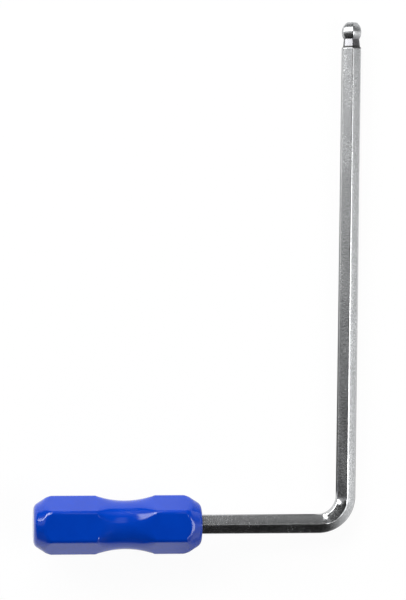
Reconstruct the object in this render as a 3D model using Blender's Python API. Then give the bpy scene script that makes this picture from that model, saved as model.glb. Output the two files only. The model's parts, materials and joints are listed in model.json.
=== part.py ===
"""Truss rod wrench: a long L-shaped hexagon key with a ball end, and a plastic handle on its short arm.

Metres, +Z up. The wrench lies on a bench: the long arm along +Y with its ball end furthest out, and the short
arm towards -X. The handle is thicker than the bar, so it props its own end up and the tool leans a little.
The origin is on the bench, under the middle of the whole tool.

Each piece is modelled in the wrench's own frame, where the two arms' centre lines cross at zero and lie in
the plane z = 0. An empty named wrench then lays that frame on the bench.
"""

import math

import bmesh
import bpy
from mathutils import Matrix, Vector

# Steel bar
BAR_FLATS = 0.005  # across two opposite flats, the size of nut that the key turns
BAR_EDGE = 0.00025  # rounding of the bar's six long edges
LONG_ARM = 0.1349  # from the crossing of the arms' centre lines to the tip of the ball
BEND_RADIUS = 0.0075  # of the bar's centre line
BEND_ANGLE = math.radians(90.7)  # between the two arms: the bend is a shade open

# Ball end, in shares of the width across the bar's flats, which every ball end follows
BALL_ARC_SHARE = 0.68  # radius of the arc that each facet of the ball is ground to
CROWN_SHARE = 0.52  # from the tip face to the widest place
NECK_SHARE = 0.89  # from the tip face to the narrowest place
ROOT_SHARE = 1.24  # from the tip face to the foot of the shoulder
SHOULDER_SHARE = 1.34  # from the tip face to the full bar
ROOT_WIDTH_SHARE = 0.85  # width of the neck at the foot of the shoulder

# Tang, the hidden end of the short arm
TANG_LENGTH = 0.037  # inside the handle
TANG_CHAMFER = 0.0005
NOTCH_LENGTH = 0.003  # along the bar
NOTCH_DEPTH = 0.0007  # in from the edge that faces up, and from the one that faces down
NOTCH_INSET = 0.008  # from the end of the tang to the middle of the notch

# Handle
HANDLE_START = 0.03885  # from the crossing of the arms' centre lines to the face that the bar enters
HANDLE_LENGTH = 0.0451
HANDLE_FLATS = 0.014
HANDLE_EDGE = 0.0012  # rounding of the handle's six long edges
END_FACE_RADIUS = 0.0042
END_EDGE = 0.002  # rounding between the end face and the cone
CONE_ANGLE = math.radians(33)  # of the end cone, to the handle's axis
CONE_BLEND = 0.004  # radius of the arc from the cone out to the barrel
WAIST_RADIUS = 0.0066  # of the handle at its narrowest
WAIST_ARC = 0.025  # radius of the concave arc along the handle
WAIST_FROM_END = 0.0244  # from the far end to the narrowest place

# Fits
FIT = 0.0003  # gap between the tang and the plastic round it
SOCKET_SPARE = 0.001  # depth of the socket past the end of the tang
TURNING_CLEAR = 0.00005  # how far the turned barrel stands off the handle's long edges
OVERRUN = 0.002  # how far a cutter reaches past what it cuts

# Fineness of the curves, in pieces
HEXAGON = 6
BAR_EDGE_STEPS = 2
HANDLE_EDGE_STEPS = 4
BALL_STEPS = 10
BEND_STEPS = 16
TURNED_SIDES = 72
ROUND_STEPS = 4
BLEND_STEPS = 5
WAIST_STEPS = 16

TURN = math.pi - BEND_ANGLE
BEND_TANGENT = BEND_RADIUS * math.tan(TURN / 2)
SHORT_WAY = Vector((-math.sin(BEND_ANGLE), math.cos(BEND_ANGLE), 0))
TANG_END = HANDLE_START + TANG_LENGTH


def corner_radius(flats):
    """From the centre of a sharp hexagon to a corner."""
    return flats / (2 * math.cos(math.pi / HEXAGON))


def rounded_corner_radius(flats, edge):
    """From the centre to the top of a corner that is rounded to the radius edge."""
    return corner_radius(flats - 2 * edge) + edge


def clear_scene():
    for obj in list(bpy.data.objects):
        bpy.data.objects.remove(obj, do_unlink=True)


def material(name, color, roughness, metallic):
    made = bpy.data.materials.new(name)
    made.use_nodes = True
    shader = made.node_tree.nodes["Principled BSDF"]
    shader.inputs["Base Color"].default_value = (*color, 1)
    shader.inputs["Roughness"].default_value = roughness
    shader.inputs["Metallic"].default_value = metallic
    return made


def finish(name, bm, parent, way=0.0):
    """The bmesh as an object. What is modelled along +Y points along the short arm where way is BEND_ANGLE."""
    bmesh.ops.recalc_face_normals(bm, faces=bm.faces)
    mesh = bpy.data.meshes.new(name)
    bm.to_mesh(mesh)
    bm.free()
    obj = bpy.data.objects.new(name, mesh)
    bpy.context.scene.collection.objects.link(obj)
    obj.parent = parent
    obj.rotation_euler.z = way
    mesh.shade_smooth()
    mesh.set_sharp_from_angle(angle=math.radians(30))
    return obj


def helper(obj):
    """Marks a cutter, which isn't a piece of the wrench."""
    obj.hide_render = True
    obj.display_type = "WIRE"
    return obj


def boolean(obj, name, operation, other):
    modifier = obj.modifiers.new(name, "BOOLEAN")
    modifier.operation = operation
    modifier.solver = "EXACT"
    modifier.object = other


def hexagon(bm, flats, edge, edge_steps, start, corner_up=True):
    """A filled hexagon with rounded corners, square to Y at y = start, with a corner or a flat side up."""
    turn = 0 if corner_up else math.pi / HEXAGON
    bmesh.ops.create_circle(
        bm,
        cap_ends=True,
        segments=HEXAGON,
        radius=corner_radius(flats),
        matrix=Matrix.Translation((0, start, 0))
        @ Matrix.Rotation(math.pi / 2, 4, "X")
        @ Matrix.Rotation(turn, 4, "Z"),
    )
    bmesh.ops.bevel(
        bm,
        geom=bm.verts[:],
        offset=edge * math.tan(math.pi / HEXAGON),
        offset_type="OFFSET",
        segments=edge_steps,
        profile=0.5,
        affect="VERTICES",
    )
    return bm.edges[:]


def pulled(bm, ring, shift, width=1.0, centre=Vector()):
    """Extrudes a ring of edges by a shift, then widens the new ring about its centre line by a share."""
    made = bmesh.ops.extrude_edge_only(bm, edges=ring)["geom"]
    verts = [v for v in made if isinstance(v, bmesh.types.BMVert)]
    bmesh.ops.translate(bm, verts=verts, vec=shift)
    bmesh.ops.scale(
        bm,
        verts=verts,
        vec=(width, width, width),
        space=Matrix.Translation(-(centre + shift)),
    )
    return [e for e in made if isinstance(e, bmesh.types.BMEdge)]


def ball_stations():
    """(distance from the tip face, width across flats) down the ball, its neck and its shoulder."""
    arc = BALL_ARC_SHARE * BAR_FLATS
    crown = CROWN_SHARE * BAR_FLATS
    neck = NECK_SHARE * BAR_FLATS
    stations = []
    for step in range(BALL_STEPS + 1):
        along = neck * step / BALL_STEPS
        drop = arc - math.sqrt(arc**2 - (along - crown) ** 2)
        stations.append((along, BAR_FLATS - 2 * drop))
    stations.append((ROOT_SHARE * BAR_FLATS, ROOT_WIDTH_SHARE * BAR_FLATS))
    stations.append((SHOULDER_SHARE * BAR_FLATS, BAR_FLATS))
    return stations


def make_key(wrench):
    """One bar, drawn from the ball's tip down the long arm, round the bend and out to the end of the tang."""
    bm = bmesh.new()
    stations = ball_stations()
    ring = hexagon(bm, BAR_FLATS, BAR_EDGE, BAR_EDGE_STEPS, LONG_ARM)
    centre = Vector((0, LONG_ARM, 0))
    tip = stations[0][1] / BAR_FLATS
    bmesh.ops.scale(bm, verts=bm.verts, vec=(tip, tip, tip), space=Matrix.Translation(-centre))

    for (before, width), (after, wider) in zip(stations, stations[1:]):
        step = Vector((0, before - after, 0))
        ring = pulled(bm, ring, step, wider / width, centre)
        centre += step
    ring = pulled(bm, ring, Vector((0, BEND_TANGENT - centre.y, 0)))

    swept = bmesh.ops.spin(
        bm,
        geom=ring,
        cent=(-BEND_RADIUS, BEND_TANGENT, 0),
        axis=(0, 0, 1),
        angle=-TURN,
        steps=BEND_STEPS,
    )["geom_last"]
    ring = [e for e in swept if isinstance(e, bmesh.types.BMEdge)]

    ring = pulled(bm, ring, SHORT_WAY * (TANG_END - TANG_CHAMFER - BEND_TANGENT))
    narrowed = 1 - 2 * TANG_CHAMFER / BAR_FLATS
    ring = pulled(bm, ring, SHORT_WAY * TANG_CHAMFER, narrowed, SHORT_WAY * (TANG_END - TANG_CHAMFER))
    bmesh.ops.contextual_create(bm, geom=ring)
    return finish("hex_key", bm, wrench)


def notch_blocks(name, wrench, gap):
    """Two blocks, over and under the tang, whose inner ends stop at the notch's floor or short of it by gap."""
    bm = bmesh.new()
    edge_height = rounded_corner_radius(BAR_FLATS, BAR_EDGE)
    floor = edge_height - NOTCH_DEPTH + gap
    height = NOTCH_DEPTH + OVERRUN
    for side in (1, -1):
        bmesh.ops.create_cube(
            bm,
            size=1,
            matrix=Matrix.Translation((0, TANG_END - NOTCH_INSET, side * (floor + height / 2)))
            @ Matrix.Diagonal((BAR_FLATS + OVERRUN, NOTCH_LENGTH - 2 * gap, height, 1)),
        )
    return helper(finish(name, bm, wrench, BEND_ANGLE))


def make_socket(wrench):
    """The hollow for the tang: the bar's own hexagon with the fit all round, less two lugs for the notch."""
    bm = bmesh.new()
    start = HANDLE_START - OVERRUN
    ring = hexagon(bm, BAR_FLATS + 2 * FIT, BAR_EDGE, BAR_EDGE_STEPS, start)
    ring = pulled(bm, ring, Vector((0, TANG_END + SOCKET_SPARE - start, 0)))
    bmesh.ops.contextual_create(bm, geom=ring)
    socket = helper(finish("socket_cutter", bm, wrench, BEND_ANGLE))
    boolean(socket, "lugs", "DIFFERENCE", notch_blocks("lug_blocks", wrench, FIT))
    return socket


def end_profile(barrel):
    """(distance from the end face, radius) from the edge of the end face out to the barrel."""
    points = []
    swing = math.pi / 2 - CONE_ANGLE
    for step in range(ROUND_STEPS + 1):
        angle = swing * step / ROUND_STEPS
        along = END_EDGE * (1 - math.cos(angle))
        points.append((along, END_FACE_RADIUS + END_EDGE * math.sin(angle)))
    blend_foot = barrel - CONE_BLEND * (1 - math.cos(CONE_ANGLE))
    blend_start = points[-1][0] + (blend_foot - points[-1][1]) / math.tan(CONE_ANGLE)
    blend_end = blend_start + CONE_BLEND * math.sin(CONE_ANGLE)
    for step in range(BLEND_STEPS + 1):
        angle = CONE_ANGLE * (1 - step / BLEND_STEPS)
        along = blend_end - CONE_BLEND * math.sin(angle)
        points.append((along, barrel - CONE_BLEND * (1 - math.cos(angle))))
    return points


def waist_profile(barrel):
    """(distance from the far end, radius) along the concave waist, from barrel to barrel."""
    reach = math.sqrt(WAIST_ARC**2 - (WAIST_ARC + WAIST_RADIUS - barrel) ** 2)
    points = []
    for step in range(WAIST_STEPS + 1):
        away = reach * (1 - 2 * step / WAIST_STEPS)
        radius = WAIST_RADIUS + WAIST_ARC - math.sqrt(WAIST_ARC**2 - away**2)
        points.append((WAIST_FROM_END - away, radius))
    return points


def make_turning(wrench):
    """The round body that the hexagonal handle is cut back to: coned ends and a waist, turned about +Y."""
    barrel = rounded_corner_radius(HANDLE_FLATS, HANDLE_EDGE) + TURNING_CLEAR
    far_face = HANDLE_START + HANDLE_LENGTH
    end = end_profile(barrel)
    profile = [(far_face, 0)]
    profile += [(far_face - along, radius) for along, radius in end]
    profile += [(far_face - along, radius) for along, radius in waist_profile(barrel)]
    profile += [(HANDLE_START + along, radius) for along, radius in reversed(end)]
    profile += [(HANDLE_START, 0)]

    bm = bmesh.new()
    verts = [bm.verts.new((radius, y, 0)) for y, radius in profile]
    edges = [bm.edges.new(pair) for pair in zip(verts, verts[1:])]
    bmesh.ops.spin(
        bm,
        geom=verts + edges,
        cent=(0, 0, 0),
        axis=(0, 1, 0),
        angle=2 * math.pi,
        steps=TURNED_SIDES,
        use_merge=True,
    )
    bmesh.ops.remove_doubles(bm, verts=bm.verts, dist=TURNING_CLEAR / TURNED_SIDES)
    return helper(finish("turned_body", bm, wrench, BEND_ANGLE))


def make_handle(wrench):
    """A hexagonal blank with a flat face up, cut back to the turned body, with the socket for the tang."""
    bm = bmesh.new()
    start = HANDLE_START - OVERRUN
    ring = hexagon(bm, HANDLE_FLATS, HANDLE_EDGE, HANDLE_EDGE_STEPS, start, corner_up=False)
    ring = pulled(bm, ring, Vector((0, HANDLE_LENGTH + 2 * OVERRUN, 0)))
    bmesh.ops.contextual_create(bm, geom=ring)
    handle = finish("handle", bm, wrench, BEND_ANGLE)
    boolean(handle, "turned", "INTERSECT", make_turning(wrench))
    boolean(handle, "socket", "DIFFERENCE", make_socket(wrench))
    return handle


def world_points(obj):
    """The object's corners with its modifiers, in world space."""
    bpy.context.view_layer.update()
    evaluated = obj.evaluated_get(bpy.context.evaluated_depsgraph_get())
    mesh = evaluated.to_mesh()
    points = [evaluated.matrix_world @ v.co for v in mesh.vertices]
    evaluated.to_mesh_clear()
    return points


def bench_lean(handle):
    """The lean at which the bar's lower edge and the handle both touch the bench.

    The long arm touches with its rounded lower edge, whose arc has its centre at the depth heart below the
    bar's axis. A point at x, z of the handle comes level with the bottom of that arc when
    -x sin(lean) + (z + heart) cos(lean) + BAR_EDGE = 0, and the first point to do so is the one that
    needs the largest lean.
    """
    heart = rounded_corner_radius(BAR_FLATS, BAR_EDGE) - BAR_EDGE
    leans = []
    for point in world_points(handle):
        away, below = -point.x, -point.z - heart
        if below > 0:
            leans.append(math.atan2(below, away) - math.asin(BAR_EDGE / math.hypot(away, below)))
    return max(leans)


def lay_on_bench(wrench, pieces):
    """Leans the wrench's frame, then puts the bottom at z = 0 and the middle of the box over the origin."""
    wrench.rotation_euler.y = bench_lean(pieces[1])
    points = [point for piece in pieces for point in world_points(piece)]
    low = Vector([min(point[i] for point in points) for i in range(3)])
    high = Vector([max(point[i] for point in points) for i in range(3)])
    middle = (low + high) / 2
    wrench.location = (-middle.x, -middle.y, -low.z)


def main():
    clear_scene()
    wrench = bpy.data.objects.new("wrench", None)
    bpy.context.scene.collection.objects.link(wrench)

    key = make_key(wrench)
    key.data.materials.append(material("plated_steel", (0.60, 0.61, 0.62), roughness=0.3, metallic=1))
    boolean(key, "notches", "DIFFERENCE", notch_blocks("notch_cutter", wrench, gap=0.0))

    handle = make_handle(wrench)
    handle.data.materials.append(material("blue_plastic", (0.004, 0.055, 0.42), roughness=0.15, metallic=0))

    lay_on_bench(wrench, [key, handle])


main()
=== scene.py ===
# %% [markdown]
# # A truss rod wrench
# The wrench is two pieces. One is a hexagonal steel bar with a ball ground on one end, bent to an L.
# The other is a blue plastic handle moulded on its short arm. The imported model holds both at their
# true size, with few faces. This notebook replaces each with a finely modelled piece in the same
# place, gives it the finish of the real thing, and sets up the camera and the light that it is
# photographed in.
#
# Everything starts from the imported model, which stays where it is, so the frame is loaded first.

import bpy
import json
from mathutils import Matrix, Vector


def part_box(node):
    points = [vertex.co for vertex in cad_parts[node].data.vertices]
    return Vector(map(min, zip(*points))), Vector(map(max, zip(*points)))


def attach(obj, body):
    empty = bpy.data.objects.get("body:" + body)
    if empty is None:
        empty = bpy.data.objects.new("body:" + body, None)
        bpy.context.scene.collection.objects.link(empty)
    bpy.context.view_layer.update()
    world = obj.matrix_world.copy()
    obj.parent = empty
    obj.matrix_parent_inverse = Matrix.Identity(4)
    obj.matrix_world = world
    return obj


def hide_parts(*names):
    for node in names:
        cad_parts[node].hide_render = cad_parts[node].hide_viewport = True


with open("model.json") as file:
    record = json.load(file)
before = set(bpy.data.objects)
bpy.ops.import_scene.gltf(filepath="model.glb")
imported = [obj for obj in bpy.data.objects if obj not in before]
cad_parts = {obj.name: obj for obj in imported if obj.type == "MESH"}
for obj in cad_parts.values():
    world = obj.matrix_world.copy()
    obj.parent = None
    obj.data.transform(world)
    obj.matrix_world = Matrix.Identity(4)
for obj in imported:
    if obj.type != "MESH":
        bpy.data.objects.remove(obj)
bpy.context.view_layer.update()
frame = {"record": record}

# %% Blender's modules
import json
import math

import bmesh
import bpy
from mathutils import Matrix, Vector

# %% [markdown]
# ## The camera
# A product like this is shot from straight above with a long lens, so that its two arms keep their
# true angle. The camera could be aimed with a Track To constraint, but looking down needs no aiming:
# an unturned camera already looks down -Z. It is only rolled by the little that the wrench is turned
# in the picture.

# %% Camera
LENS = 171.0  # mm
SENSOR = 36.0  # mm, its long side
NEAREST = 0.01  # what is nearer than this isn't seen
CAMERA_PLACE = Vector((0.001585, -0.003376, 0.770735))
CAMERA_ROLL = math.radians(0.764)

scene = bpy.context.scene
camera = bpy.data.objects.new("camera", bpy.data.cameras.new("camera"))
scene.collection.objects.link(camera)
camera.data.lens = LENS
camera.data.sensor_width = SENSOR
camera.data.clip_start = NEAREST
camera.location = CAMERA_PLACE
camera.rotation_euler.z = CAMERA_ROLL
scene.camera = camera
print("camera is", round(CAMERA_PLACE.z, 3), "m above the bench")

# %% [markdown]
# ## The wrench's own frame
# The handle is thicker than the bar, so a wrench that lies on a bench leans. Modelling something that
# leans is awkward. It is easier to model it level, with the two arms' centre lines crossing at zero
# and the long arm along +Y, and to lay the finished pieces down afterwards with one matrix.
#
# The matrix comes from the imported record: the middle of the ball's tip face is one of its mounts, and
# the bar's outer flat is another, whose direction gives the lean.

# %% Sizes of the bar, in metres
BAR_FLATS = 0.005  # across two opposite flats
LONG_ARM = 0.1349  # from the crossing of the arms' centre lines to the tip
BEND_RADIUS = 0.0075  # of the bar's centre line
BEND_ANGLE = math.radians(90.7)  # between the two arms
HANDLE_START = 0.03901  # from the crossing to the face that the bar enters
TANG_LENGTH = 0.03684  # inside the handle
TANG_END = HANDLE_START + TANG_LENGTH

TURN = math.pi - BEND_ANGLE
BEND_TANGENT = BEND_RADIUS * math.tan(TURN / 2)
SHORT_WAY = Vector((-math.sin(BEND_ANGLE), math.cos(BEND_ANGLE), 0))
short_arm = Matrix.Rotation(BEND_ANGLE, 4, "Z")  # turns +Y on to the short arm
print("the short arm points along", [round(c, 3) for c in SHORT_WAY])

# %% The matrix that lays the wrench on the bench
mounts = {mount["name"]: mount for mount in frame["record"]["mounts"]}
tip = Vector(mounts["ball_tip"]["pos_m"])
outer = Vector(mounts["bar_outer_flat"]["axis"])
lean = math.atan2(-outer.z, outer.x)
lay_down = Matrix.Translation(tip - Vector((0, LONG_ARM, 0))) @ Matrix.Rotation(lean, 4, "Y")
print("the wrench leans", round(math.degrees(lean), 2), "degrees")

# %% [markdown]
# ## Hexagonal rings
# Both pieces are long and hexagonal, and both are drawn ring by ring: a ring of edges is pulled along,
# and what it leaves behind is the surface. A ring starts as a circle of six points. Bevelling its
# corners rounds them, and cutting its straight sides gives the flats enough points to be shaped.
#
# No drawn bar is truly flat. Its sides are crowned by a few hundredths of a millimetre, and this shows
# more than it measures, because each flat then mirrors a gradient and not one grey.

# %% Ring helpers
HEXAGON = 6


def hexagon_ring(bm, flats, edge, along, edge_steps, flat_steps, corner_up=True):
    """A filled hexagon with rounded corners, square to +Y at y = along. Returns its edges."""
    turn = 0 if corner_up else math.pi / HEXAGON
    bmesh.ops.create_circle(
        bm,
        cap_ends=True,
        segments=HEXAGON,
        radius=flats / (2 * math.cos(math.pi / HEXAGON)),
        matrix=Matrix.Translation((0, along, 0))
        @ Matrix.Rotation(math.pi / 2, 4, "X")
        @ Matrix.Rotation(turn, 4, "Z"),
    )

    def level(verts):
        return all(abs(v.co.y - along) < flats / 1000 for v in verts)

    corners = [v for v in bm.verts if level([v]) and len(v.link_edges) == 2]
    bmesh.ops.bevel(
        bm,
        geom=corners,
        offset=edge * math.tan(math.pi / HEXAGON),
        offset_type="OFFSET",
        segments=edge_steps,
        profile=0.5,
        affect="VERTICES",
        material=-1,
    )
    sides = [e for e in bm.edges if e.is_boundary and level(e.verts) and e.calc_length() > flats / 4]
    bmesh.ops.subdivide_edges(bm, edges=sides, cuts=flat_steps - 1)
    return [e for e in bm.edges if e.is_boundary and level(e.verts)]


def ring_verts(edges):
    return list({v for e in edges for v in e.verts})


def pull(bm, ring, shift):
    """Extrudes a ring of edges and moves the new ring by shift. Returns the new ring's edges."""
    made = bmesh.ops.extrude_edge_only(bm, edges=ring)["geom"]
    bmesh.ops.translate(bm, verts=[v for v in made if isinstance(v, bmesh.types.BMVert)], vec=shift)
    return [e for e in made if isinstance(e, bmesh.types.BMEdge)]


def widen(bm, ring, share, along):
    """Scales a ring about the point of the +Y axis at y = along."""
    bmesh.ops.scale(
        bm,
        verts=ring_verts(ring),
        vec=(share, share, share),
        space=Matrix.Translation((0, -along, 0)),
    )


# %% Crown of the bar's flats
FLAT_CROWN_RADIUS = 0.03  # of the arc that a flat follows across its width


def crown(verts, flats):
    """Pulls each point of the bar's ring in by what a flat of radius FLAT_CROWN_RADIUS drops there."""
    width = 2 * math.pi / HEXAGON
    for v in verts:
        angle = math.atan2(v.co.z, v.co.x)
        off_middle = angle - width * round(angle / width)
        reach = math.hypot(v.co.x, v.co.z)
        sideways = reach * math.sin(off_middle)
        share = 1 - sideways**2 / (FLAT_CROWN_RADIUS * flats)
        v.co.x *= share
        v.co.z *= share


# %% [markdown]
# ## The ball end
# A ball end lets the key turn a nut at an angle. It is ground on the bar: each of the six flats is cut
# to an arc that runs in from the tip, swells to the bar's full width and runs out to a narrow neck.
# From its narrowest place the neck widens in a straight line to its root, where a short, steep
# shoulder leads up to the bar. Every maker grinds it to nearly the same shares of the bar's width, so
# these sizes are shares of it.
#
# A UV sphere cut by a hexagonal prism would also look like a ball end, but its flats would be flat.
# Scaling the hexagonal ring as it is pulled along keeps each face curved one way only, as the grinding
# wheel does.

# %% Widths down the ball
BALL_ARC_SHARE = 0.68  # radius of the arc
CROWN_SHARE = 0.52  # from the tip face to the widest place
NECK_SHARE = 0.89  # from the tip face to the narrowest place
ROOT_SHARE = 1.31  # from the tip face to the foot of the shoulder
SHOULDER_SHARE = 1.38  # from the tip face to the full bar
ROOT_WIDTH_SHARE = 0.87  # width at the foot of the shoulder
BALL_STEPS = 36
SPARE_STEP = 0.00009  # between the rings of the neck and the shoulder
SPARE_RINGS = 3  # behind the shoulder


def ball_stations():
    """(distance from the tip face, width across flats) down the ball, its neck and its shoulder."""
    arc = BALL_ARC_SHARE * BAR_FLATS
    widest = CROWN_SHARE * BAR_FLATS
    neck = NECK_SHARE * BAR_FLATS
    stations = []
    for step in range(BALL_STEPS + 1):
        down = neck * step / BALL_STEPS
        stations.append((down, BAR_FLATS - 2 * (arc - math.sqrt(arc**2 - (down - widest) ** 2))))
    turns = [
        (ROOT_SHARE * BAR_FLATS, ROOT_WIDTH_SHARE * BAR_FLATS),
        (SHOULDER_SHARE * BAR_FLATS, BAR_FLATS),
        (SHOULDER_SHARE * BAR_FLATS + SPARE_RINGS * SPARE_STEP, BAR_FLATS),
    ]
    for down, width in turns:
        before, wide = stations[-1]
        steps = math.ceil((down - before) / SPARE_STEP)
        for step in range(1, steps + 1):
            share = step / steps
            stations.append((before + share * (down - before), wide + share * (width - wide)))
    return stations


stations = ball_stations()
tip_width, neck_width = stations[0][1], stations[BALL_STEPS][1]
print("tip face", round(1000 * tip_width, 2), "mm wide, neck", round(1000 * neck_width, 2), "mm")

# %% [markdown]
# ## The long arm
# The first ring is the bar's own section, shrunk to the tip face. It is pulled from station to station
# down the ball and then in one go down the long arm, which needs no rings between because nothing
# changes there.
#
# Smooth shading blends the direction of neighbouring faces over a whole face. A face as long as the
# arm would be shaded askew from end to end by the slope that it meets at the shoulder. So the neck,
# the shoulder and the first hairsbreadth of the arm are drawn in steps of about a tenth of a
# millimetre, and one more spare ring stands just before the bend. They keep that blending short.

# %% Draw the ball and the long arm
BAR_EDGE = 0.00033  # rounding of the bar's long edges
BAR_EDGE_STEPS = 6
BAR_FLAT_STEPS = 8

key = bmesh.new()
ring = hexagon_ring(key, BAR_FLATS, BAR_EDGE, LONG_ARM, BAR_EDGE_STEPS, BAR_FLAT_STEPS)
crown(ring_verts(ring), BAR_FLATS)
widen(key, ring, tip_width / BAR_FLATS, LONG_ARM)
for (before, width), (after, wider) in zip(stations, stations[1:]):
    ring = pull(key, ring, Vector((0, before - after, 0)))
    widen(key, ring, wider / width, LONG_ARM - after)
ring = pull(key, ring, Vector((0, BEND_TANGENT + SPARE_STEP - (LONG_ARM - stations[-1][0]), 0)))
ring = pull(key, ring, Vector((0, -SPARE_STEP, 0)))
print("long arm has", len(key.faces), "faces")

# %% [markdown]
# ## The bend and the short arm
# A bend is what Spin is for: it carries the ring round a centre and leaves a surface between its
# stops. Then the ring is pulled straight on, past the handle's mouth and down to the hidden end of the
# tang, which has a small chamfer so that it can start into the plastic.

# %% Spin the bend and draw the short arm
BEND_STEPS = 48
TANG_CHAMFER = 0.0005
MOUTH_INSIDE = 0.004  # past the handle's mouth, where a spare ring keeps the notches off what shows

swept = bmesh.ops.spin(
    key,
    geom=ring,
    cent=(-BEND_RADIUS, BEND_TANGENT, 0),
    axis=(0, 0, 1),
    angle=-TURN,
    steps=BEND_STEPS,
)["geom_last"]
ring = [e for e in swept if isinstance(e, bmesh.types.BMEdge)]
inside = HANDLE_START + MOUTH_INSIDE
ring = pull(key, ring, SHORT_WAY * (inside - BEND_TANGENT))
ring = pull(key, ring, SHORT_WAY * (TANG_END - TANG_CHAMFER - inside))
ring = pull(key, ring, SHORT_WAY * TANG_CHAMFER)
end = SHORT_WAY * TANG_END
narrowed = 1 - 2 * TANG_CHAMFER / BAR_FLATS
bmesh.ops.scale(key, verts=ring_verts(ring), vec=(narrowed,) * 3, space=Matrix.Translation(-end))
bmesh.ops.contextual_create(key, geom=ring)
print("bar has", len(key.faces), "faces")

# %% [markdown]
# ## Where a point lies along the bar
# Two jobs need to know where a point would be if the bar were still straight. One is the next step,
# which works on the bend. The other is the steel's finish: the bar was drawn, and so got its fine
# lengthways marks, before it was bent, so the pattern has to follow the bar round the corner. Object
# coordinates can't do that. This function unrolls the bend, and the unrolled place is kept on every
# point of the finished mesh.

# %% Unroll the bend
OUTWARD = short_arm @ Vector((1, 0, 0))  # off the short arm's centre line, away from the crook


def straight_place(co):
    """(off the centre line towards the bend's outer side, along the bar, up), with the bend unrolled."""
    if co.y >= BEND_TANGENT:
        return Vector((co.x, co.y, co.z))
    angle = math.atan2(BEND_TANGENT - co.y, co.x + BEND_RADIUS)
    if angle <= TURN:
        off = math.hypot(co.x + BEND_RADIUS, co.y - BEND_TANGENT) - BEND_RADIUS
        return Vector((off, BEND_TANGENT - BEND_RADIUS * angle, co.z))
    along = co.dot(SHORT_WAY)
    return Vector((co.dot(OUTWARD), 2 * BEND_TANGENT - BEND_RADIUS * TURN - along, co.z))


straight_length = LONG_ARM - straight_place(SHORT_WAY * TANG_END).y
print("before it was bent, the bar was", round(1000 * straight_length, 1), "mm long")


# %% [markdown]
# ## What bending does to the steel
# Steel that is bent over a tight former doesn't keep its section. The inner side is squeezed: it
# swells up and down, which levels the facet above it, and its edges are pushed a little back.
# The outer side is stretched, so the top and bottom edges slide outwards and a little together. It is
# seen on every hex key, and it catches the light: here it is what keeps the upper facet dark round the
# bend and puts a white patch at each end of the squeezed edge.
#
# Moving points one by one would crease the rounded edges. Instead the six corners of the section are
# moved, the rounding is worked out again between them, and each point takes its own place on the new
# outline.

# %% The section's corners, as the bend squeezes them
TOP_SLIDE = 0.00035  # of the top and bottom edges, outwards
TOP_SINK = 0.00020  # of the same edges, towards each other
INNER_PUSH = 0.00005  # of the two inner edges, outwards
INNER_SWELL = 0.00058  # of the two inner edges, up and down
SECTOR = 2 * math.pi / HEXAGON
SIDE_CORNER = BAR_FLATS / 2 * math.tan(SECTOR / 2)  # height of the side flats' edges


def squeezed_corners(share):
    """(outwards, up) of the section's corners, anticlockwise. share is 0 for a plain hexagon."""
    outer = Vector((BAR_FLATS / 2, SIDE_CORNER))
    top = Vector((TOP_SLIDE * share, 2 * SIDE_CORNER - TOP_SINK * share))
    inner = Vector((INNER_PUSH * share - BAR_FLATS / 2, SIDE_CORNER + INNER_SWELL * share))
    below = [Vector((corner.x, -corner.y)) for corner in (inner, top, outer)]
    return [outer, top, inner] + below


def side_normal(corners, index):
    """Outward direction of the side from corner index to the next."""
    way = corners[(index + 1) % HEXAGON] - corners[index % HEXAGON]
    return Vector((way.y, -way.x)).normalized()


def rounding_centre(corners, index):
    """Centre of the arc that rounds a corner."""
    both = side_normal(corners, index - 1) + side_normal(corners, index)
    return corners[index % HEXAGON] - both * (2 * BAR_EDGE / both.length_squared)


# %% A point's place on the squeezed outline
PLAIN = squeezed_corners(0)


def squeeze_point(spot, share):
    """Where a point of the plain outline lies on the squeezed one."""
    corners = squeezed_corners(share)
    index = round((math.atan2(spot.y, spot.x) - SECTOR / 2) / SECTOR) % HEXAGON
    away = spot - rounding_centre(PLAIN, index)
    toward = SECTOR * (index + 0.5)
    turn = (math.atan2(away.y, away.x) - toward + math.pi) % (2 * math.pi) - math.pi
    centre = rounding_centre(corners, index)
    if abs(turn) <= SECTOR / 2:
        before, after = side_normal(corners, index - 1), side_normal(corners, index)
        swing = turn / SECTOR + 0.5
        return centre + before.slerp(after, swing) * away.length
    side, other = (index, index + 1) if turn > 0 else (index - 1, index - 1)
    plain_normal = side_normal(PLAIN, side)
    plain_side = rounding_centre(PLAIN, other) - rounding_centre(PLAIN, index)
    reach = away.dot(plain_side) / plain_side.length_squared
    moved_side = rounding_centre(corners, other) - centre
    return centre + moved_side * reach + side_normal(corners, side) * away.dot(plain_normal)


# %% Squeeze the bend
SQUEEZE_START = 0.09  # share of the bend where the squeeze starts
SQUEEZE_END = 0.87  # share of the bend where it is over
SQUEEZE_GROWS = 0.18  # share of the bend in which it grows and in which it fades
INNER_FLAT = -0.9 * BAR_FLATS / 2  # a point further in than this is on the inner flat


def smooth_step(value):
    value = min(max(value, 0), 1)
    return value**2 * (3 - 2 * value)


moved = 0
for v in key.verts:
    place = straight_place(v.co)
    bent = (BEND_TANGENT - place.y) / (BEND_RADIUS * TURN)  # 0 where the bend starts, 1 where it ends
    if 0 < bent < 1:
        share = smooth_step((bent - SQUEEZE_START) / SQUEEZE_GROWS)
        share *= smooth_step((SQUEEZE_END - bent) / SQUEEZE_GROWS)
        spot = squeeze_point(Vector((place.x, place.z)), share)
        if place.x < INNER_FLAT:  # this side keeps its middle, so it bulges
            spot.x -= INNER_PUSH * share * max(1 - (place.z / SIDE_CORNER) ** 2, 0)
        way = Vector((v.co.x + BEND_RADIUS, v.co.y - BEND_TANGENT, 0)).normalized()
        v.co += way * (spot.x - place.x)
        v.co.z = spot.y
        moved += 1
print("moved", moved, "points of the bend")

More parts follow.
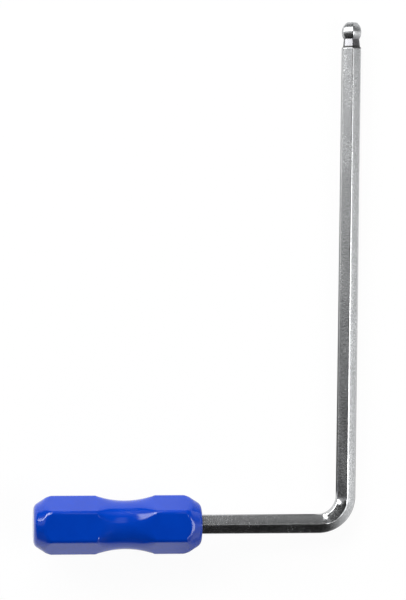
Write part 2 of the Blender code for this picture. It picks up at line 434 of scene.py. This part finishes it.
# %% [markdown]
# ## Soft creases
# Grinding leaves the ball's creases keen, but plating rounds them a little, and a rounded crease is
# what gives the bright thin line round the shoulder. Bevel does this on the edges of four rings: the
# tip face, the narrowest place, the root of the neck and the shoulder. The real rounding can hardly be
# measured in a photograph, so its size is the smallest that still shows.

# %% Soften the rings of the ball
CREASE_SOFT = 0.00006
CREASE_STEPS = 3
SAME_PLACE = CREASE_SOFT / 100  # how near two points are when they lie on one ring
creases = [0, NECK_SHARE * BAR_FLATS, ROOT_SHARE * BAR_FLATS, SHOULDER_SHARE * BAR_FLATS]
keen = [
    e
    for e in key.edges
    for down in creases
    if all(abs(v.co.y - (LONG_ARM - down)) < SAME_PLACE for v in e.verts)
]
bmesh.ops.bevel(
    key,
    geom=keen,
    offset=CREASE_SOFT,
    offset_type="OFFSET",
    segments=CREASE_STEPS,
    profile=0.5,
    affect="EDGES",
    material=-1,
)
print("softened", len(keen), "edges")


# %% [markdown]
# ## From a bmesh to a piece
# Every piece ends the same way: its normals are made to point out, it becomes a mesh, and it is laid
# on the bench by transforming the mesh itself. The object then stays at the origin, unturned and
# unscaled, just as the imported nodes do. A wide crease angle keeps the small bevels smooth and only
# true corners sharp.

# %% Piece helpers
SHARP_ANGLE = math.radians(40)


def new_object(name, bm):
    bmesh.ops.recalc_face_normals(bm, faces=bm.faces)
    mesh = bpy.data.meshes.new(name)
    bm.to_mesh(mesh)
    bm.free()
    obj = bpy.data.objects.new(name, mesh)
    scene.collection.objects.link(obj)
    return obj


def boolean(obj, operation, tool):
    """Joins the tool to the object or cuts it out, keeps the result as its mesh, and drops the tool."""
    modifier = obj.modifiers.new(operation, "BOOLEAN")
    modifier.operation = operation
    modifier.solver = "EXACT"
    modifier.object = tool
    bpy.context.view_layer.update()
    evaluated = obj.evaluated_get(bpy.context.evaluated_depsgraph_get())
    made = bpy.data.meshes.new_from_object(evaluated)
    obj.modifiers.clear()
    obj.data = made
    made.name = obj.name
    bpy.data.objects.remove(tool)


def lay_on_bench(obj, node):
    """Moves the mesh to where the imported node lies, and lets the object stand for that node."""
    obj.data.transform(lay_down)
    obj.data.shade_smooth()
    obj.data.set_sharp_from_angle(angle=SHARP_ANGLE)
    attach(obj, "root")
    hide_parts(node)
    low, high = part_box(node)
    points = [v.co for v in obj.data.vertices]
    off = []
    for i in range(3):
        off.append(abs(min(p[i] for p in points) - low[i]))
        off.append(abs(max(p[i] for p in points) - high[i]))
    faces = len(obj.data.polygons)
    print(obj.name, "has", faces, "faces and its box is within", round(1000 * max(off), 3), "mm")


# %% [markdown]
# ## Notches in the tang
# A plastic handle would slide off a plain bar. The tang is nicked above and below, near its end, and
# the plastic fills the nicks. They don't show, and they are cut with the same two blocks that later
# make the handle's lugs, so that the two always match.

# %% Notch blocks and the finished key
NOTCH_LENGTH = 0.003
NOTCH_DEPTH = 0.0007
NOTCH_INSET = 0.008  # from the end of the tang to the middle of the notch
BLOCK_REACH = 0.0015  # how far a block stands out of the bar
EDGE_HEIGHT = (BAR_FLATS / 2 - BAR_EDGE) / math.cos(math.pi / HEXAGON) + BAR_EDGE


def notch_blocks(name, gap):
    """Blocks over and under the tang. Their inner faces lie on the notch's floor, or gap outside it."""
    bm = bmesh.new()
    floor = EDGE_HEIGHT - NOTCH_DEPTH + gap
    height = NOTCH_DEPTH + BLOCK_REACH
    for side in (1, -1):
        bmesh.ops.create_cube(
            bm,
            size=1,
            matrix=short_arm
            @ Matrix.Translation((0, TANG_END - NOTCH_INSET, side * (floor + height / 2)))
            @ Matrix.Diagonal((BAR_FLATS, NOTCH_LENGTH - 2 * gap, height, 1)),
        )
    return new_object(name, bm)


hex_key = new_object("hex_key_fine", key)
boolean(hex_key, "DIFFERENCE", notch_blocks("notch_blocks", 0))
straight = hex_key.data.attributes.new("straight", "FLOAT_VECTOR", "POINT")
for v in hex_key.data.vertices:
    straight.data[v.index].vector = straight_place(v.co)
lay_on_bench(hex_key, "hex_key")

# %% [markdown]
# ## The handle's shape
# The handle is a hexagonal rod of plastic, as if turned down on a lathe: a cone at each end and a
# hollow waist where the fingers close. Wherever the round cutter went deeper than a flat, the flat
# ends in a curved edge. In CAD this is a Boolean of a hexagonal prism and a turned body. A Boolean
# leaves those edges knife sharp, though, and on a moulded handle they are soft and gleam.
#
# So the fine handle is made in two steps. The hexagonal ring is pulled along through closely spaced
# stations, and then every point is turned down to the smaller of its own reach and the cutter's
# radius. A smooth minimum instead of a plain one rounds the edge between the two.

# %% Sizes of the handle
HANDLE_LENGTH = 0.04492
HANDLE_FLATS = 0.014
HANDLE_EDGE = 0.0012  # rounding of the handle's long edges
END_FACE_RADIUS = 0.0042
END_EDGE = 0.002  # rounding between the end face and the cone
CONE_ANGLE = math.radians(33)  # of the cone, to the handle's axis
CONE_BLEND = 0.004  # radius of the arc from the cone out to the barrel
WAIST_RADIUS = 0.0065
WAIST_ARC = 0.0235  # radius of the hollow along the handle
WAIST_FROM_END = 0.0245  # from the far end to the narrowest place
BARREL = (HANDLE_FLATS / 2 - HANDLE_EDGE) / math.cos(math.pi / HEXAGON) + HANDLE_EDGE
FAR_FACE = HANDLE_START + HANDLE_LENGTH
print("the barrel's long edges are", round(1000 * BARREL, 2), "mm from its axis")

# %% The cutter's path
ROUND_STEPS = 10
CONE_STEPS = 22
BLEND_STEPS = 26
WAIST_STEPS = 90


def end_path():
    """(distance from the end face, radius) from the edge of the end face out to the barrel."""
    path = []
    swing = math.pi / 2 - CONE_ANGLE
    for step in range(ROUND_STEPS + 1):
        angle = swing * step / ROUND_STEPS
        path.append((END_EDGE * (1 - math.cos(angle)), END_FACE_RADIUS + END_EDGE * math.sin(angle)))
    foot_along, foot_radius = path[-1]
    blend_foot = BARREL - CONE_BLEND * (1 - math.cos(CONE_ANGLE))
    blend_start = foot_along + (blend_foot - foot_radius) / math.tan(CONE_ANGLE)
    for step in range(1, CONE_STEPS):
        share = step / CONE_STEPS
        path.append((
            foot_along + share * (blend_start - foot_along),
            foot_radius + share * (blend_foot - foot_radius),
        ))
    for step in range(BLEND_STEPS + 1):
        angle = CONE_ANGLE * (1 - step / BLEND_STEPS)
        along = blend_start + CONE_BLEND * (math.sin(CONE_ANGLE) - math.sin(angle))
        path.append((along, BARREL - CONE_BLEND * (1 - math.cos(angle))))
    return path


def waist_path():
    """(distance from the far end, radius) along the hollow waist, from barrel to barrel."""
    reach = math.sqrt(WAIST_ARC**2 - (WAIST_ARC + WAIST_RADIUS - BARREL) ** 2)
    path = []
    for step in range(WAIST_STEPS + 1):
        away = reach * (1 - 2 * step / WAIST_STEPS)
        path.append((WAIST_FROM_END - away, WAIST_RADIUS + WAIST_ARC - math.sqrt(WAIST_ARC**2 - away**2)))
    return path


cutter_path = [(FAR_FACE - along, radius) for along, radius in end_path() + waist_path()]
cutter_path += [(HANDLE_START + along, radius) for along, radius in reversed(end_path())]
print("the cutter's path has", len(cutter_path), "stations")

# %% Draw the blank and turn it down
HANDLE_EDGE_STEPS = 8
HANDLE_FLAT_STEPS = 44
TURNED_SOFT = 0.0005  # two reaches that differ by less than this are blended


def soft_least(a, b, soft):
    """The smaller of two lengths, rounded off where they differ by less than soft."""
    if soft <= 0:
        return min(a, b)
    overlap = max(soft - abs(a - b), 0) / soft
    return min(a, b) - overlap**2 * soft / 4


handle_bm = bmesh.new()
ring = hexagon_ring(
    handle_bm, HANDLE_FLATS, HANDLE_EDGE, FAR_FACE, HANDLE_EDGE_STEPS, HANDLE_FLAT_STEPS, corner_up=False
)
rings = [ring_verts(ring)]
for (before, _), (after, _) in zip(cutter_path, cutter_path[1:]):
    ring = pull(handle_bm, ring, Vector((0, after - before, 0)))
    rings.append(ring_verts(ring))

for verts, (_, radius) in zip(rings, cutter_path):
    soft = min(TURNED_SOFT, 2 * (BARREL - radius))
    for v in verts:
        reach = math.hypot(v.co.x, v.co.z)
        share = soft_least(reach, radius, soft) / reach
        v.co.x *= share
        v.co.z *= share
print("the turned blank has", len(handle_bm.faces), "faces")

# %% [markdown]
# ## The socket
# The handle was moulded on the bar, so its socket is the bar's own hexagon with a hair of room. A
# Boolean could drill it. But the near end is still an open ring, so it is simpler to set a small ring
# in the same plane, bridge the two into the end face, and pull the small ring in as the socket's wall.

# %% Bridge the end face and pull the socket
SOCKET_ROOM = 0.00005
SOCKET_SPARE = 0.001  # depth past the end of the tang
SOCKET_FLAT_STEPS = 4
mouth = hexagon_ring(
    handle_bm, BAR_FLATS + 2 * SOCKET_ROOM, BAR_EDGE, HANDLE_START, BAR_EDGE_STEPS, SOCKET_FLAT_STEPS
)
mouth = [e for e in mouth if e not in ring]
bmesh.ops.delete(handle_bm, geom=mouth[0].link_faces[:], context="FACES_ONLY")
bmesh.ops.bridge_loops(handle_bm, edges=ring + mouth)
ring = pull(handle_bm, mouth, Vector((0, TANG_END + SOCKET_SPARE - HANDLE_START, 0)))
bmesh.ops.contextual_create(handle_bm, geom=ring)
bmesh.ops.transform(handle_bm, matrix=short_arm, verts=handle_bm.verts)

handle = new_object("handle_fine", handle_bm)
boolean(handle, "UNION", notch_blocks("lug_blocks", SOCKET_ROOM))
lay_on_bench(handle, "handle")

# %% [markdown]
# ## Sums on sockets
# A finish is worked out by nodes. A mask such as (1 - worn) * rough takes two Math nodes, and wiring
# each by hand soon hides the idea. The small class here wraps one output socket and overloads the
# signs, so a sum in Python adds the Math nodes by itself. Every other node comes from one method,
# which sets the node's own settings first, because they can change which sockets it has.

# %% Node helpers
class Wire:
    """One output socket of a node tree."""

    def __init__(self, graph, socket):
        self.graph = graph
        self.socket = socket

    def other(self, name):
        """Another output of the same node."""
        return Wire(self.graph, self.socket.node.outputs[name])

    def __add__(self, value):
        return self.graph.add("ShaderNodeMath", {"operation": "ADD"}, {0: self, 1: value})

    __radd__ = __add__

    def __mul__(self, value):
        return self.graph.add("ShaderNodeMath", {"operation": "MULTIPLY"}, {0: self, 1: value})

    __rmul__ = __mul__

    def __sub__(self, value):
        return self.graph.add("ShaderNodeMath", {"operation": "SUBTRACT"}, {0: self, 1: value})

    def __rsub__(self, value):
        return self.graph.add("ShaderNodeMath", {"operation": "SUBTRACT"}, {0: value, 1: self})


class Graph:
    """A node tree that is emptied and built anew."""

    def __init__(self, tree):
        self.tree = tree
        tree.nodes.clear()

    def add(self, kind, settings=None, sockets=None, output=0):
        node = self.tree.nodes.new(kind)
        for name, value in (settings or {}).items():
            setattr(node, name, value)
        for key, value in (sockets or {}).items():
            if isinstance(value, Wire):
                self.tree.links.new(value.socket, node.inputs[key])
            else:
                node.inputs[key].default_value = value
        return Wire(self, node.outputs[output] if node.outputs else None)

    def rise(self, value, low, high):
        """0 below low, 1 above high, and a smooth step between."""
        return self.add(
            "ShaderNodeMapRange",
            {"interpolation_type": "SMOOTHSTEP"},
            {"Value": value, "From Min": low, "From Max": high},
        )

    def noise(self, place, size, detail=2.0, roughness=0.5):
        """Soft noise from 0 to 1 whose lumps are about size across, in metres."""
        return self.add(
            "ShaderNodeTexNoise",
            {"noise_dimensions": "3D"},
            {"Vector": place, "Scale": 1 / size, "Detail": detail, "Roughness": roughness},
        )

    def stretch(self, place, shares):
        """A place with each direction scaled by its share, so that a pattern grows longer along it."""
        return self.add("ShaderNodeVectorMath", {"operation": "MULTIPLY"}, {0: place, 1: shares})

    def blend(self, share, first, second):
        """A colour between two colours."""
        return self.add(
            "ShaderNodeMix", {"data_type": "RGBA"}, {0: share, 6: first, 7: second}, output=2
        )


def new_material(name):
    material = bpy.data.materials.new(name)
    material.use_nodes = True
    return material, Graph(material.node_tree)


# %% [markdown]
# ## Plated steel
# The bar was drawn through a die, bent, ground at one end, and plated with nickel or chrome. Close up,
# the plating is satin: it follows tiny lumps in the steel, so a flat mirrors the studio as a mottled
# grey. Fine lines run along the bar from the drawing. The ball has lines round it from the grinding
# wheel, and the keen edges are polished a little brighter by handling. The neck is darker than the
# rest, and a line of painted shade darkens the shoulder's face at the root of the neck.
#
# A scratch picture wrapped on the bar would do it, but only at one distance. Noise has no such limit,
# and stretching it along the unrolled bar gives the lines their direction.

# %% Steel finish
STEEL = (0.60, 0.61, 0.62, 1)
STEEL_DULL = (0.50, 0.51, 0.52, 1)
STEEL_BRIGHT = (0.74, 0.75, 0.76, 1)  # on the keen edges
# the neck is darker than the rest of the bar
STEEL_NECK = (0.22, 0.22, 0.23, 1)
# painted shade for the shoulder's face
STEEL_PAINTED_SHADE = (0.06, 0.06, 0.06, 1)

steel, graph = new_material("satin_plated_steel")
place = graph.add("ShaderNodeAttribute", {"attribute_name": "straight"}, output="Vector")
parts = graph.add("ShaderNodeSeparateXYZ", None, {0: place})
along = parts.other("Y")
off_axis = graph.stretch(place, (1, 0, 1))
from_axis = graph.add("ShaderNodeVectorMath", {"operation": "LENGTH"}, {0: off_axis}, "Value")

# %% Where the steel changes
SHOULDER = LONG_ARM - SHOULDER_SHARE * BAR_FLATS  # all places here are along the unrolled bar
ROOT = LONG_ARM - ROOT_SHARE * BAR_FLATS
NECK = LONG_ARM - NECK_SHARE * BAR_FLATS
GROUND_FADE = 0.0002  # over which the drawn finish gives way to the ground one
NECK_FADE = (NECK - 0.0002, NECK + 0.0014)  # over which the dull neck gives way to the ball
# the shoulder's face, from its crease to the root, gets a line of painted shade
SHOULDER_SHADE_START = (SHOULDER - 0.00014, SHOULDER - 0.00005)  # the dark line covers the shoulder's crease
SHOULDER_SHADE_END = (ROOT, ROOT + 0.0004)
EDGE_FADE = (EDGE_HEIGHT - 0.00022, EDGE_HEIGHT - 0.00004)  # from the axis

on_ball = graph.rise(along, SHOULDER - GROUND_FADE, SHOULDER)
in_neck = graph.rise(along, SHOULDER, ROOT) * (1 - graph.rise(along, *NECK_FADE))
painted_shoulder_shade = graph.rise(along, *SHOULDER_SHADE_START) * (1 - graph.rise(along, *SHOULDER_SHADE_END))
on_edge = graph.rise(from_axis, *EDGE_FADE)
print("the shoulder is", round(1000 * (LONG_ARM - SHOULDER), 2), "mm behind the tip")

# %% Lumps, lines and patches
MOTTLE = 0.0005  # these five are widths, in metres
FINE_MOTTLE = 0.00016
DRAW_LINE = 0.00012
GRIND_LINE = 0.00009
PATCH = 0.003
LENGTHWAYS = (1, 0.02, 1)  # a small share draws the pattern out that way
ROUND_THE_BALL = (0.06, 1, 0.06)
PATCH_SHARES = (1, 0.3, 1)

mottle = graph.noise(place, MOTTLE, detail=2.0)
fine = graph.noise(place, FINE_MOTTLE, detail=1.0)
drawn = graph.noise(graph.stretch(place, LENGTHWAYS), DRAW_LINE, detail=2.0)
ground = graph.noise(graph.stretch(place, ROUND_THE_BALL), GRIND_LINE, detail=2.0)
patches = graph.noise(graph.stretch(place, PATCH_SHARES), PATCH, detail=2.0)
print("the steel has patterns of", [1000 * size for size in (MOTTLE, FINE_MOTTLE, PATCH)], "mm")

# %% Relief of the steel
STEEL_RELIEF = 0.000045  # height of the lumps, in metres
DRAWN_SHARES = (0.62, 0.18, 0.2)  # of the mottle, the fine mottle and the drawing lines
GROUND_SHARES = (0.07, 0.03)  # of the grinding lines and the fine mottle

drawn_height = DRAWN_SHARES[0] * mottle + DRAWN_SHARES[1] * fine + DRAWN_SHARES[2] * drawn
ground_height = GROUND_SHARES[0] * ground + GROUND_SHARES[1] * fine
height = (1 - on_ball) * drawn_height + on_ball * ground_height
bump = graph.add("ShaderNodeBump", None, {"Strength": 1.0, "Distance": STEEL_RELIEF, "Height": height})
print("its relief is", 1000 * STEEL_RELIEF, "mm")

# %% Steel colour and shader
STEEL_ROUGHNESS = 0.21
WORN_RISE = (0.35, 0.7)  # of the patches
TONE_RISE = (0.45, 0.95)  # of the mottle and the lines, from dull to plain steel

worn = graph.rise(patches, *WORN_RISE)
roughness = STEEL_ROUGHNESS + 0.08 * (mottle - 0.5) + 0.06 * worn + 0.05 * on_ball
plated = graph.blend(graph.rise(mottle + 0.4 * drawn, *TONE_RISE), STEEL_DULL, STEEL)
colour = graph.blend(in_neck, graph.blend(on_edge, plated, STEEL_BRIGHT), STEEL_NECK)
# painted shade on the shoulder's face
colour = graph.blend(painted_shoulder_shade, colour, STEEL_PAINTED_SHADE)

shader = graph.add(
    "ShaderNodeBsdfPrincipled",
    None,
    {"Base Color": colour, "Metallic": 1.0, "Roughness": roughness, "Normal": bump},
)
graph.add("ShaderNodeOutputMaterial", None, {"Surface": shader})
hex_key.data.materials.clear()
hex_key.data.materials.append(steel)
print(steel.name, "has", len(steel.node_tree.nodes), "nodes")

# %% [markdown]
# ## Blue plastic
# The handle is an opaque, strongly coloured plastic such as cellulose acetate, polished by the mould.
# Its colour hardly varies. What tells it from paint is the surface: a faint orange peel a few
# millimetres across that bends each highlight, and hairline scuffs that only show in the gloss.

# %% Plastic finish
BLUE = (0.0, 0.044, 0.43, 1)
BLUE_DEEP = (0.0, 0.040, 0.40, 1)
PEEL = 0.0035  # these four are widths, in metres
GRAIN = 0.0003
SCUFF = 0.00025
HANDLED = 0.006
ALONG_HANDLE = (0.12, 1, 1)  # scuffs are drawn out along the handle
SCUFF_RISE = (0.6, 0.75)
HANDLED_RISE = (0.4, 0.65)  # where handling has left scuffs
PLASTIC_RELIEF = 0.000015  # height of the peel, in metres

plastic, graph = new_material("blue_handle_plastic")
place = graph.add("ShaderNodeTexCoord", output="Object")
peel = graph.noise(place, PEEL, detail=1.0)
grain = graph.noise(place, GRAIN, detail=2.0)
scuffs = graph.noise(graph.stretch(place, ALONG_HANDLE), SCUFF, detail=3.0, roughness=0.6)
handled = graph.noise(place, HANDLED, detail=2.0)
scuffed = graph.rise(scuffs, *SCUFF_RISE) * graph.rise(handled, *HANDLED_RISE)

height = peel + 0.02 * grain + 0.01 * scuffed
bump = graph.add(
    "ShaderNodeBump", None, {"Strength": 1.0, "Distance": PLASTIC_RELIEF, "Height": height}
)
print("the peel is", 1000 * PEEL, "mm across and", 1000 * PLASTIC_RELIEF, "mm high")

# %% Plastic shader
PLASTIC_ROUGHNESS = 0.12
PLASTIC_IOR = 1.56
DEEP_RISE = (0.3, 0.7)  # where the blue is a little deeper

shader = graph.add(
    "ShaderNodeBsdfPrincipled",
    None,
    {
        "Base Color": graph.blend(graph.rise(handled, *DEEP_RISE), BLUE, BLUE_DEEP),
        "Roughness": PLASTIC_ROUGHNESS + 0.03 * grain + 0.08 * scuffed,
        "IOR": PLASTIC_IOR,
        "Normal": bump,
    },
)
graph.add("ShaderNodeOutputMaterial", None, {"Surface": shader})
handle.data.materials.clear()
handle.data.materials.append(plastic)
print(plastic.name, "has", len(plastic.node_tree.nodes), "nodes")

# %% [markdown]
# ## The floor
# The wrench lies on a white sweep that is lit to pure white, with only a breath of shadow. A floor lit
# that hard would flood the object with light from below. The usual answer is a mix: the camera sees
# mostly plain white, while light that bounces meets an ordinary pale floor. What is left of the
# ordinary floor in the mix keeps the soft shadow.
#
# Steel and gloss mirror the same paper, but they see it from close by, and there it isn't plain white.
# So rays that were mirrored meet a mix of their own, with painted light and painted shade in it. It is
# whitest on the handle's side, where light is painted on it. Painted shade darkens it close to a piece,
# beside the bend and before the ball's tip, and a painted glow makes it white again at one spot in the
# crook. Ambient occlusion finds what is close, and soft masks on the paper set the other places.

# %% Floor sheet
FLOOR_RADIUS = 6.0
FLOOR_SIDES = 96

bm = bmesh.new()
bmesh.ops.create_circle(bm, cap_ends=True, segments=FLOOR_SIDES, radius=FLOOR_RADIUS)
floor = new_object("floor", bm)
print("the floor is", 2 * FLOOR_RADIUS, "m across")

# %% Where mirrored paper is dark or white
# painted shade on the paper, which only mirrored rays meet
SHADES = [  # (middle, reach along the long arm, how dark)
    ((0.045, -0.06, 0), 0.11, 1.0),  # beside the bend
    ((0.048, 0.115, 0), 0.055, 0.8),  # before the ball's tip
]
SHADE_NARROW = 1.6  # a shade reaches this many times less far across
CONTACT_REACH = 0.004  # how near the floor a piece darkens it
CONTACT_SAMPLES = 8
# a painted glow: mirrored rays see the paper white round the crook's inner corner
CROOK = (0.0361, -0.0585, 0)  # the inner corner of the bend
CROOK_GLOW = (0.0022, 0.0045)  # from there, how far the paper is white, and where that ends
# painted light: mirrored rays see the paper whiter on the handle's side
HANDLE_SIDE = (-0.002, 0.006)  # how far left the paper starts to whiten, and how far left it is whitest

paper, graph = new_material("white_paper")
place = graph.add("ShaderNodeTexCoord", output="Object")
clear = graph.add(
    "ShaderNodeAmbientOcclusion", {"samples": CONTACT_SAMPLES}, {"Distance": CONTACT_REACH}, "AO"
)
for middle, reach, how_dark in SHADES:
    from_middle = graph.add("ShaderNodeVectorMath", {"operation": "SUBTRACT"}, {0: place, 1: middle})
    narrowed = graph.stretch(from_middle, (SHADE_NARROW, 1, 0))
    away = graph.add("ShaderNodeVectorMath", {"operation": "LENGTH"}, {0: narrowed}, "Value")
    clear = clear * (1 - how_dark + how_dark * graph.rise(away, 0, reach))
from_crook = graph.add("ShaderNodeVectorMath", {"operation": "DISTANCE"}, {0: place, 1: CROOK}, "Value")
# painted glow round the crook
painted_crook_glow = 1 - graph.rise(from_crook, *CROOK_GLOW)
left = -1 * graph.add("ShaderNodeSeparateXYZ", None, {0: place})
painted_light_by_handle = graph.rise(left, *HANDLE_SIDE)
print(len(SHADES), "shades on the paper")

# %% The paper's mix
PAPER = (0.95, 0.95, 0.95, 1)
PAPER_IN_SHADE = (0.05, 0.05, 0.05, 1)
CAMERA_WHITE = 0.95  # share of plain white in what the camera sees
MIRRORED_WHITE = 0.15  # the same in what is mirrored
MIRRORED_WHITE_BY_HANDLE = 0.75

light_path = graph.add("ShaderNodeLightPath")
mirrored = light_path.other("Is Glossy Ray") + light_path.other("Is Transmission Ray")
mirrored_white = MIRRORED_WHITE + (MIRRORED_WHITE_BY_HANDLE - MIRRORED_WHITE) * painted_light_by_handle
mirrored_white = mirrored_white * clear + painted_crook_glow * (1 - mirrored_white)
white_share = CAMERA_WHITE * light_path.other("Is Camera Ray") + mirrored * mirrored_white
dark_share = mirrored * (1 - clear)

lit = graph.add("ShaderNodeBsdfDiffuse", None, {"Color": PAPER})
dark = graph.add("ShaderNodeBsdfDiffuse", None, {"Color": PAPER_IN_SHADE})
white = graph.add("ShaderNodeEmission", None, {"Color": (1, 1, 1, 1), "Strength": 1.0})
shaded = graph.add("ShaderNodeMixShader", None, {0: dark_share, 1: lit, 2: dark})
mixed = graph.add("ShaderNodeMixShader", None, {0: white_share, 1: shaded, 2: white})
graph.add("ShaderNodeOutputMaterial", None, {"Surface": mixed})
floor.data.materials.append(paper)
print(paper.name, "has", len(paper.node_tree.nodes), "nodes")

# %% [markdown]
# ## The lamps
# Bright steel looks like whatever surrounds it, so each lamp is placed by what it draws on the steel.
# A big softbox behind on the left, with a nearer one beside it, gives the handle its long glints and
# the ball its white faces. A dim panel on the left lights the long arm's left flat. A softbox on the
# right draws the bright ridge down the long arm, and a small dim one behind draws the thin line along
# the short arm. All hang at one height.
#
# Two low suns fill in: one from behind, which brightens the handle's far side, and a weak one from the
# front. They are hidden from anything glossy, because their own mirror images would be seen on the
# steel.

# %% Softboxes
SOFTBOX_HEIGHT = 0.8


def softbox(name, low, high, level):
    """A rectangular lamp overhead, from corner to corner. level is its brightness, 1 for white paper."""
    data = bpy.data.lights.new(name, "AREA")
    data.shape = "RECTANGLE"
    data.size = high[0] - low[0]
    data.size_y = high[1] - low[1]
    data.energy = level * math.pi * data.size * data.size_y
    lamp = bpy.data.objects.new(name, data)
    scene.collection.objects.link(lamp)
    lamp.location = ((low[0] + high[0]) / 2, (low[1] + high[1]) / 2, SOFTBOX_HEIGHT)
    lamp.visible_camera = False
    print(name, "is", round(data.size, 2), "by", round(data.size_y, 2), "m")


softbox("key_softbox", (-1.60, 0.43), (-0.50, 0.98), 10.0)
softbox("near_key_softbox", (-0.50, 0.30), (-0.14, 1.00), 5.0)
softbox("left_panel", (-1.40, -0.02), (-0.50, 0.43), 0.55)
softbox("right_softbox", (0.48, -0.45), (1.60, 0.09), 4.6)
softbox("high_softbox", (0.13, 0.12), (0.34, 0.60), 0.55)

# %% Low suns
SUN_WIDTH = math.radians(30)


def low_sun(name, turn, height, share):
    """Far light, turn and height in degrees. share is its part of the light that makes paper white."""
    data = bpy.data.lights.new(name, "SUN")
    data.angle = SUN_WIDTH
    data.energy = share * math.pi
    lamp = bpy.data.objects.new(name, data)
    scene.collection.objects.link(lamp)
    lamp.rotation_euler = (math.radians(height) - math.pi / 2, 0, math.radians(turn))
    lamp.visible_camera = False
    lamp.visible_glossy = False
    shines = lamp.matrix_basis.to_3x3() @ Vector((0, 0, -1))
    print(name, "shines along", [round(c, 2) for c in shines])


low_sun("back_light", 0, 18, 0.65)
low_sun("front_light", 180, 15, 0.125)

# %% [markdown]
# ## The room
# Lamps alone would leave the rest of the steel black. The world is the room round the table, and the
# steel mirrors that too: nearly dark overhead and at the front, where the photographer stands, a pale
# wall on the right, a fainter one behind, a little light near on the left, and a pale band at the
# horizon, where the sweep runs out. A photograph of a studio would do the same, but its lights
# couldn't be moved one by one.
#
# A world's Generated coordinates are the direction that is looked in, from -1 to 1 on each axis. Each
# part of the room is a soft step on one or two of them.

# %% Room
ROOM_LEVEL = 0.014  # levels are shares of white paper's brightness
RIGHT_WALL_LEVEL = 0.74
RIGHT_WALL_DIMS = 0.75  # by this share, in its half towards the back
RIGHT_WALL_SKEW = 0.12  # how much the wall turns away towards the back
BACK_WALL_LEVEL = 0.45
HORIZON_LEVEL = 0.3
NEAR_LEFT_LEVEL = 0.06
RIGHT_WALL_RISE = (0.50, 0.95)  # each rise is where a step starts and where it is over
RIGHT_WALL_BACK_RISE = (-0.02, 0.25)
BACK_WALL_RISE = (0.66, 0.95)
BACK_WALL_UP_RISE = (0.25, 0.41)
HORIZON_RISE = (0.88, 0.97)
LEFT_RISE = (0.40, 0.60)
NEAR_RISE = (0.25, 0.50)

world = bpy.data.worlds.new("studio")
scene.world = world
world.use_nodes = True
graph = Graph(world.node_tree)
place = graph.add("ShaderNodeTexCoord", output="Generated")
way = graph.add("ShaderNodeSeparateXYZ", None, {0: place})
across = way.other("X")
back = way.other("Y")
up = way.other("Z")

right_wall = RIGHT_WALL_LEVEL * graph.rise(across - RIGHT_WALL_SKEW * back, *RIGHT_WALL_RISE)
right_wall = right_wall * (1 - RIGHT_WALL_DIMS * graph.rise(back, *RIGHT_WALL_BACK_RISE))
back_wall = BACK_WALL_LEVEL * graph.rise(back, *BACK_WALL_RISE) * graph.rise(up, *BACK_WALL_UP_RISE)
horizon = HORIZON_LEVEL * graph.rise(1 - up, *HORIZON_RISE)
near_left = graph.rise(-1 * across, *LEFT_RISE) * graph.rise(-1 * back, *NEAR_RISE)
light = ROOM_LEVEL + right_wall + back_wall + horizon + NEAR_LEFT_LEVEL * near_left
shader = graph.add("ShaderNodeBackground", None, {"Color": (1, 1, 1, 1), "Strength": light})
graph.add("ShaderNodeOutputWorld", None, {"Surface": shader})
print("the room has", len(world.node_tree.nodes), "nodes")

# %% [markdown]
# ## Colour
# The Standard view transform shows a colour as it is written, so the blue on the screen is the blue in
# the material.

# %% Finish
scene.view_settings.view_transform = "Standard"
